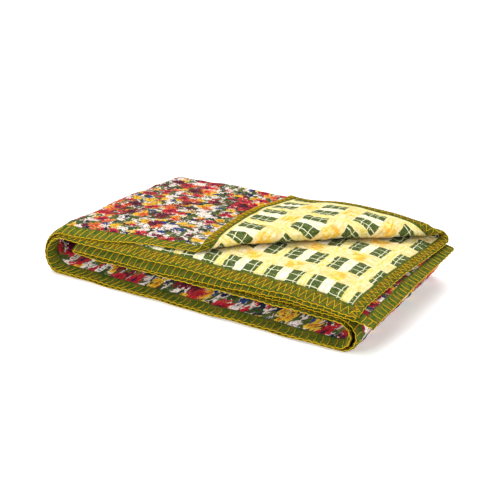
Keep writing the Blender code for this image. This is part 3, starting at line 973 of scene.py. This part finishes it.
# %% Check cotton
def stripe(f, length, period, start, stop, slope=SHARP):
    """1 where a length, counted from the last whole period, lies between start and stop."""
    place = f.times(f.math("FRACT", f.math("DIVIDE", length, period)), period)
    off = f.math("ABSOLUTE", f.minus(place, (start + stop) / 2))
    return f.soft(f.minus((stop - start) / 2, off), slope)


def stripes(f, length, period, pairs, slope=SHARP):
    """The larger of the masks of two stripes."""
    first, second = (stripe(f, length, period, *pair, slope) for pair in pairs)
    return f.math("MAXIMUM", first, second)


def check_cotton():
    """Pale cotton with green blocks, white gaps, thin lines and warm patches.

    Rows are counted across the strip, and the columns slip a little sideways from row to row, as
    the cloth was sewn slightly askew.
    """
    f = Formula("check_cotton")
    wander = f.vector("SUBTRACT", f.noise(f.uv, PRINT_SCALE, 3.0, colour=True), MIDDLE_GREY)
    place = f.vector("ADD", f.uv, f.vector("MULTIPLY", wander, WANDER))
    along, t, _ = f.split(place)
    s = f.minus(f.minus(along, CHECK_START), f.stretches(t, COLUMN_SLIP))
    row = f.stretches(t, ROW_COUNT)

    columns = stripes(f, s, CHECK_ALONG, GREEN_COLUMNS)
    white_column = stripe(f, s, CHECK_ALONG, *WHITE_COLUMN)
    patch_column = stripe(f, s, CHECK_ALONG, *PATCH_COLUMN, PATCH_SHARP)
    green_row = stripe(f, row, 1.0, 0.0, ROW_SHARE, ROW_SHARP)
    patch_row = stripe(f, row, 1.0, *PATCH_ROW, PATCH_ROW_SHARP)
    lines = f.math("MAXIMUM", stripes(f, s, CHECK_ALONG, COLUMN_LINES),
                   stripes(f, row, 1.0, ROW_LINES, ROW_SHARP))

    brush = f.noise(f.join(f.times(s, 0.3), t), BRUSH_SCALE, 4.0)
    brush_across = f.noise(f.join(s, f.times(t, 0.3)), BRUSH_SCALE, 4.0)
    cream_row = f.minus(1.0, green_row)
    colour = f.blend(f.times(cream_row, columns), f.ramp(brush_across, PALE_STOPS),
                     f.ramp(brush, CREAM_STOPS))
    patchy = f.soft(f.minus(f.noise(place, PATCH_SCALE), PATCH_FROM), 6.0)
    patch = f.times(f.times(patch_row, patch_column), patchy)
    colour = f.blend(patch, colour, f.ramp(brush, WARM_STOPS))
    colour = f.blend(f.times(white_column, green_row), colour, f.ramp(brush_across, WHITE_STOPS))
    worn = f.soft(f.minus(f.noise(place, WORN_SCALE, 4.0), WORN_FROM), 24.0)
    block = f.times(f.times(columns, green_row), worn)
    green = f.ramp(f.noise(place, GREEN_SCALE, 3.0), GREEN_STOPS)
    colour = f.blend(block, colour, f.blend(lines, green, tone(236, 236, 196)))

    colour = f.grained(colour, 0.25, tone(150, 136, 110))
    # Painted shade in the creases, faint on the check back
    colour = painted_crease_shade(f, colour, 0.25)
    f.bump(weave_relief(f, PANEL_WEAVE), 0.9, 0.0018)
    return f.finish(colour, 0.9, 0.03)


floral = floral_cotton()
check = check_cotton()
print("cottons:", floral.name, check.name)

# %% [markdown]
# ## The two cotton faces
# The floral face and the check back are separate cloths that lie on each other, with the thin
# padding pressed between them. Each is one closed shell with its outer side crinkled. The relief
# fades out beside the edging, where the stitches hold the cloth flat, and it is lower in the
# hidden passes, where the layers press on each other.

# %% Cotton panels
LINING = CLOTH_GAP / 2
HALF = QUILT_THICKNESS / 2
FLORAL_SEED = 11
CHECK_SEED = 47
RELIEF_FADE = 0.007
HIDDEN_RELIEF = 0.33
# Where the relief changes along the strip, as a start and a length of u
PASS_TWO = (1.6, 0.4)
RIGHT_FOLD = (2.9, 0.2)
PASS_THREE = (3.9, 0.3)
ON_FLOOR = (1.75, 0.25)
OFF_FLOOR = (3.0, 0.25)
FLOOR_V = 1.3


def rise(u, start, length):
    """Smooth step from 0 to 1 over a stretch of u."""
    return ease((u - start) / length)


def relief(s, t, u, v, seed):
    """Crinkle, lower in hidden passes, on the floor and beside the edging."""
    edge = np.minimum(np.clip(v, 0.0, 3.0) - BINDING_V, 3.0 - BINDING_V - v) * LAYER_DEPTH
    end = np.minimum(u - BINDING_PLACE, 7.0 - BINDING_PLACE - u) * STACK_LENGTH
    fade = ease(np.minimum(edge, end) / RELIEF_FADE)
    shown = rise(u, *RIGHT_FOLD) * (1.0 - rise(u, *PASS_THREE))
    hidden = rise(u, *PASS_TWO) * (1.0 - shown)
    return crinkle(s, t, seed) * fade * mix(1.0, HIDDEN_RELIEF, hidden)


def floral_top(s, t, u, v):
    """Height of the floral face, which stays flat where it lies on the surface."""
    on_floor = rise(u, *ON_FLOOR) * (1.0 - rise(u, *OFF_FLOOR)) * (v <= FLOOR_V)
    return HALF + relief(s, t, u, v, FLORAL_SEED) * (1.0 - on_floor)


def check_under(s, t, u, v):
    """Height of the check back, below the middle surface."""
    return -HALF - relief(s, t, u, v, CHECK_SEED)


floral_face = shell("floral_face", PANEL_U, PANEL_V, LINING, floral_top, floral)
check_back = shell("check_back", PANEL_U, PANEL_V, check_under, -LINING, check)
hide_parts("floral_panel")
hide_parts("check_panel")

# %% [markdown]
# ## The green edging
# A strip of green cotton is folded round the quilt's edge and sewn down. Its outer edge is round
# and its inner edge is a turned hem, so its thickness is a profile of the distance from the edge.
# Each stitch pulls a small dent across it. The four strips butt together at the corners, as in
# the solids.

# %% Edging cotton
EDGING_STOPS = [(0.34, (58, 80, 16)), (0.50, (80, 98, 24)), (0.60, (104, 98, 30)),
                (0.72, (118, 96, 36))]
FLECK_STOPS = [(0.42, (255, 255, 255)), (0.72, (176, 150, 96))]
BROWN_SCALE = 150.0
FLECK_SCALE = 700.0


def edging_cotton():
    """Green cotton with brown patches, light flecks and a weave."""
    f = Formula("green_edging")
    colour = f.ramp(f.noise(f.uv, BROWN_SCALE, 3.0), EDGING_STOPS)
    fleck = f.ramp(f.noise(f.uv, FLECK_SCALE), FLECK_STOPS)
    colour = f.blend(0.6, colour, fleck, "MULTIPLY")
    f.bump(weave_relief(f, EDGING_WEAVE), 0.5, 0.0009)
    return f.finish(colour, 0.9, 0.0)


green = edging_cotton()
print("edging cotton:", green.name)

# %% Edging strips
STITCH_PITCH = 0.0105
EDGING_PUFF = 0.00045
EDGE_ROUND = 0.0017
HEM_ROUND = 0.0011
HEM_SHARE = 0.55
DENT = 0.00035
SWELL = 0.0002
SWELL_SIZE = (0.012, 0.006)
EDGE_FADE = 0.003
HEM_FADE = 0.0015
CHECK_SIDE_SEED = 71
FLORAL_SIDE_SEED = 72


def edging_profile(distance):
    """Half thickness at a distance from the outer edge.

    Circle arc at the edge, sqrt(1 - (1 - d/r)^2), and a lower one at the hem.
    """
    outer = np.clip(distance / EDGE_ROUND, 0.0, 1.0)
    hem = np.clip((BINDING_WIDTH - distance) / HEM_ROUND, 0.0, 1.0)
    arc = np.sqrt(1.0 - (1.0 - outer) ** 2)
    turn = mix(HEM_SHARE, 1.0, np.sqrt(1.0 - (1.0 - hem) ** 2))
    return (HALF + EDGING_PUFF) * arc * turn


def puckered_edge(run, distance, seed):
    """Profile with a dent at each stitch, (1/2 + cos(2 pi run/pitch)/2)^4, and slow swells."""
    dent = DENT * (0.5 + 0.5 * np.cos(2 * math.pi * run / STITCH_PITCH)) ** 4
    swell = SWELL * noise(run / SWELL_SIZE[0], distance / SWELL_SIZE[1], seed)
    inside = ease(distance / EDGE_FADE) * ease((BINDING_WIDTH - distance) / HEM_FADE)
    return edging_profile(distance) + (swell - dent) * inside


def side(sign, seed, run_of, distance_of):
    """Height function of one face of an edging strip."""
    return lambda s, t, u, v: sign * puckered_edge(run_of(s, t), distance_of(u, v), seed)


ROUND_SHARES = 0.5 - 0.5 * np.cos(np.linspace(0.0, math.pi, 13))
EDGE_SHARES = np.concatenate([[0.0, 0.004, 0.02], ROUND_SHARES[1:]])
FRONT_V = BINDING_V * EDGE_SHARES
END_U = BINDING_PLACE * EDGE_SHARES
LONG_U = stations((0, BINDING_PLACE, 8), (BINDING_PLACE, TURN_SPLIT, 70),
                  (TURN_SPLIT, BASE_PLACE, 110), (BASE_PLACE, 1, 120), (1, 2, 60), (2, 3, 170),
                  (3, 4, 50), (4, 5, 150), (5, 6, 14), (6, 7 - BINDING_PLACE, 170),
                  (7 - BINDING_PLACE, 7, 8))
SHORT_V = stations((CLOTH_V, 1, 110), (1, 2, 12), (2, 3 - CLOTH_V, 110))

edging_strips = {
    "edging_long_outer": ("binding_long_outer", LONG_U, FRONT_V,
                          lambda s, t: s, lambda u, v: v * LAYER_DEPTH),
    "edging_long_inner": ("binding_long_inner", LONG_U, 3.0 - FRONT_V[::-1],
                          lambda s, t: s, lambda u, v: (3.0 - v) * LAYER_DEPTH),
    "edging_end_top": ("binding_end_top", END_U, SHORT_V,
                       lambda s, t: t, lambda u, v: u * STACK_LENGTH),
    "edging_end_inner": ("binding_end_inner", 7.0 - END_U[::-1], SHORT_V,
                         lambda s, t: t, lambda u, v: (7.0 - u) * STACK_LENGTH),
}
for name, (node, us, vs, run_of, distance_of) in edging_strips.items():
    check_side = side(-1.0, CHECK_SIDE_SEED, run_of, distance_of)
    floral_face_side = side(1.0, FLORAL_SIDE_SEED, run_of, distance_of)
    strip = shell(name, us, vs, check_side, floral_face_side, green)
    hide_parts(node)

# %% [markdown]
# ## Golden stitches
# The edging is sewn by hand with thick golden thread. On the floral side it shows as curved
# ticks across the band, on the check side as a zigzag that a browner one crosses, and a strand
# runs along the very edge with a small loop at each tick. Each stitch is a thin round tube
# carried along a short path on the cloth, so all stitches of one kind are made at once with
# one array.

# %% Thread
TWIST_PITCH = 0.0011


def twisted_thread(name, groove_shade, crown):
    """Twisted cotton thread, with painted shade that darkens its grooves."""
    f = Formula(name)
    s, t, _ = f.split(f.uv)
    twist = f.math("SINE", f.times(f.plus(s, f.times(t, 0.7)), 2 * math.pi / TWIST_PITCH))
    # The ramp runs from the painted shade in the grooves to the crown's colour.
    colour = f.ramp(f.math("MULTIPLY_ADD", twist, 0.5, 0.5), [(0.0, groove_shade), (1.0, crown)])
    f.bump(twist, 0.4, 0.0003)
    return f.finish(colour, 0.7, 0.0)


thread = twisted_thread("golden_thread", (190, 142, 4), (238, 200, 12))
brown_thread = twisted_thread("brown_thread", (112, 80, 8), (166, 122, 20))
THREAD_SIDES = 6


def tubes(name, paths, outward, radius, cotton):
    """Round tubes along many paths at once, paths being (tubes, points, 3).

    With T a path's direction and B = T x outward, ring k lies at the path's point plus
    radius (cos(a) outward + sin(a) B), a going round in equal steps. The ends are closed.
    """
    count, length = paths.shape[:2]
    direction = np.gradient(paths, axis=1)
    direction /= np.linalg.norm(direction, axis=-1, keepdims=True)
    beside = np.cross(direction, outward)
    beside /= np.linalg.norm(beside, axis=-1, keepdims=True)
    upward = np.cross(beside, direction)
    angle = 2 * math.pi * np.arange(THREAD_SIDES) / THREAD_SIDES
    ring = np.cos(angle)[:, None] * upward[..., None, :]
    ring = ring + np.sin(angle)[:, None] * beside[..., None, :]
    points = paths[..., None, :] + radius * ring
    index = np.arange(count * length * THREAD_SIDES).reshape(count, length, THREAD_SIDES)
    after = np.roll(index, -1, axis=2)
    walls = np.stack([index[:, :-1], after[:, :-1], after[:, 1:], index[:, 1:]], axis=-1)
    half = THREAD_SIDES // 2
    caps = []
    for ends in (index[:, 0, ::-1], index[:, -1]):
        caps.append(ends[:, :half + 1])
        caps.append(np.concatenate([ends[:, half:], ends[:, :1]], axis=1))
    faces = np.concatenate([walls.reshape(-1, 4)] + caps)
    run = along_length(np.swapaxes(paths, 0, 1)).T
    around = np.arange(THREAD_SIDES) * radius
    lengths = np.stack(np.broadcast_arrays(run[..., None], around), axis=-1)
    piece = new_piece(name, points, faces, lengths, cotton)
    return piece


# %% Places along the edging
def long_line(v_edge):
    """Running length of a long edging's middle line against u."""
    u = np.linspace(0.0, 7.0, 7001)
    points = quilt_point(u, np.full_like(u, v_edge))
    return along_length(points), u


def short_line(u_edge):
    """Running length of a short edging's middle line against v."""
    v = np.linspace(0.0, 3.0, 3001)
    points = quilt_point(np.full_like(v, u_edge), v)
    return along_length(points), v


MIDDLE = 0.5
THREAD_LIFT = 0.0003
LINES = {
    "long_outer": (long_line(MIDDLE * BINDING_V),
                   lambda value, d: (value, d / LAYER_DEPTH)),
    "long_inner": (long_line(3.0 - MIDDLE * BINDING_V),
                   lambda value, d: (value, 3.0 - d / LAYER_DEPTH)),
    "end_top": (short_line(MIDDLE * BINDING_PLACE),
                lambda value, d: (d / STACK_LENGTH, value)),
    "end_inner": (short_line(7.0 - MIDDLE * BINDING_PLACE),
                  lambda value, d: (7.0 - d / STACK_LENGTH, value)),
}


def on_edging(line, run, distance, sign):
    """Point on an edging's face: run along it, distance from its outer edge.

    Also gives the way out.
    """
    (lengths, values), place = LINES[line]
    u, v = place(np.interp(run, lengths, values), distance)
    normal = floral_side(u, v) * sign
    height = edging_profile(distance) + THREAD_LIFT
    return quilt_point(u, v) + SHIFT + height[..., None] * normal, normal


# %% Stitches of one edging
TICK_RADIUS = 0.00040
TICK_FROM = 0.0001
TICK_TO = 0.0118
TICK_BOW = 0.0017
TICK_STRAY = 0.0010
PLACE_STRAY = 0.0016
PLACE_SEED = 91
TICK_SEED = 92
ZIGZAG_RADIUS = 0.00034
GOLDEN_REACH = (0.0012, 0.0112)
BROWN_REACH = (0.0024, 0.0124)


def stitch_runs(line):
    """Places of the stitches along an edging, kept off its ends, a little uneven."""
    total = LINES[line][0][0][-1]
    runs = np.arange(0.5, total / STITCH_PITCH - 0.5) * STITCH_PITCH
    return runs + PLACE_STRAY * noise(runs / STITCH_PITCH * 1.7, 0.0 * runs, PLACE_SEED)


def zigzag(line, label, shift, reach, cotton):
    """Two rows of slanting stitches on the check side that meet in points.

    Reach says from where to where they go across the edging.
    """
    share = np.linspace(0.0, 1.0, 5)[None, :]
    runs = stitch_runs(line)[:, None] + shift
    made = []
    for way, lean, across in (("up", share - 0.5, share), ("down", share + 0.5, 1.0 - share)):
        run = runs + 0.5 * STITCH_PITCH * lean
        distance = np.broadcast_to(mix(reach[0], reach[1], across), run.shape)
        paths, normal = on_edging(line, run, distance, -1.0)
        made.append(tubes("_".join((label, way, line)), paths, normal, ZIGZAG_RADIUS, cotton))
    return made


def sew(line):
    """Ticks on the floral side, and a golden and a brown zigzag that cross on the check side.

    A tick bends along the edging by bow sin(0.8 pi share), share being how far it has come.
    """
    runs = stitch_runs(line)[:, None]
    share = np.linspace(0.0, 1.0, 7)[None, :]
    wobble = noise(runs * 300.0, 0.0 * runs, TICK_SEED)
    run = runs + TICK_BOW * np.sin(math.pi * share * 0.8) + TICK_STRAY * wobble * share
    distance = mix(TICK_FROM, TICK_TO + TICK_STRAY * wobble, share)
    paths, normal = on_edging(line, run, np.broadcast_to(distance, run.shape), 1.0)
    made = [tubes("ticks_" + line, paths, normal, TICK_RADIUS, thread)]
    made.extend(zigzag(line, "zigzag", 0.0, GOLDEN_REACH, thread))
    made.extend(zigzag(line, "brown_zigzag", 0.5 * STITCH_PITCH, BROWN_REACH, brown_thread))
    return made


# %% Strand along the edge
EDGE_STEPS = 6
STRAND_RADIUS = 0.00048
STRAND_INSET = 0.0015
STRAND_OUT = 0.0002
LOOP_OUT = 0.0004
LOOP_HEIGHT = 0.0007
OUTWARD_STEP = 0.002


def edge_strand(line):
    """Strand along the outer edge that circles once for each stitch, sin out and cos up."""
    total = LINES[line][0][0][-1]
    count = int(total / STITCH_PITCH * EDGE_STEPS)
    run = np.linspace(STRAND_INSET, total - STRAND_INSET, count)
    phase = 2 * math.pi * run / STITCH_PITCH
    (lengths, values), place = LINES[line]
    at = np.interp(run, lengths, values)
    edge_u, edge_v = place(at, np.zeros_like(run))
    inner_u, inner_v = place(at, np.full_like(run, OUTWARD_STEP))
    edge = quilt_point(edge_u, edge_v)
    outward = edge - quilt_point(inner_u, inner_v)
    outward /= np.linalg.norm(outward, axis=-1, keepdims=True)
    normal = floral_side(edge_u, edge_v)
    loop = LOOP_HEIGHT * np.cos(phase)[:, None]
    out = STRAND_OUT + LOOP_OUT * np.sin(phase)[:, None]
    path = edge + SHIFT + outward * out + normal * loop
    return tubes("strand_" + line, path[None], normal[None], STRAND_RADIUS, thread)


for line in LINES:
    sew(line)
    edge_strand(line)

# %% [markdown]
# ## The cloth
# The two panels are the quilt's cloths, folded and lying on the surface. Each was cut about
# 57 cm wide and 2 m long. The edging and stitches are sewn to them.

# %% [markdown]
# ## Floor and light
# The quilt lies in a bright white studio. A large soft light overhead, a little behind and to
# the left, keeps the hollows of the folds dark. A low one lights the front, and one from the
# right and a floor that glows a little leave only a faint shadow.

# %% Floor
FLOOR_HALF = 4.0
corners = np.array(((-1, -1, 0), (1, -1, 0), (1, 1, 0), (-1, 1, 0))) * FLOOR_HALF
floor_mesh = bpy.data.meshes.new("floor")
floor_mesh.from_pydata(corners.tolist(), [], [(0, 1, 2, 3)])
floor = bpy.data.objects.new("floor", floor_mesh)
bpy.context.scene.collection.objects.link(floor)
floor_paint = bpy.data.materials.new("floor")
floor_paint.use_nodes = True
FLOOR_LOOK = {"Base Color": tone(247, 247, 247), "Roughness": 0.9,
              "Emission Color": WHITE, "Emission Strength": 0.22}
for socket, value in FLOOR_LOOK.items():
    floor_paint.node_tree.nodes["Principled BSDF"].inputs[socket].default_value = value
floor_mesh.materials.append(floor_paint)
print("floor", 2 * FLOOR_HALF, "m wide")


# %% Light
# Where each soft light is, its size in metres and its power in watts
LIGHTS = {
    "key": ((-1.2, 0.8, 5.6), 6.5, 500.0),
    "fill": ((-2.6, -5.4, 2.2), 4.0, 330.0),
    "side": ((5.5, 0.6, 2.6), 4.0, 240.0),
}
WORLD_STRENGTH = 0.18


def soft_light(name, place, size, power):
    """Square area light that looks at the middle of the quilt's underside."""
    data = bpy.data.lights.new(name, "AREA")
    data.size = size
    data.energy = power
    light = bpy.data.objects.new(name, data)
    light.location = place
    x, y, z = place
    light.rotation_euler = (math.atan2(math.hypot(x, y), z), 0.0, math.atan2(-y, -x) - UPRIGHT)
    bpy.context.scene.collection.objects.link(light)


bpy.context.scene.view_settings.view_transform = "Standard"
for name, (place, size, power) in LIGHTS.items():
    soft_light(name, place, size, power)
world = bpy.data.worlds.new("studio")
world.use_nodes = True
world.node_tree.nodes["Background"].inputs["Color"].default_value = WHITE
world.node_tree.nodes["Background"].inputs["Strength"].default_value = WORLD_STRENGTH
bpy.context.scene.world = world
print("lights", list(LIGHTS))

# %% [markdown]
# ## Sizes
# A box's corners are turned into plain lists of numbers.

# %% Sizes
def plain(box):
    """Nested lists of numbers from a box."""
    return [[float(value) for value in corner] for corner in box]
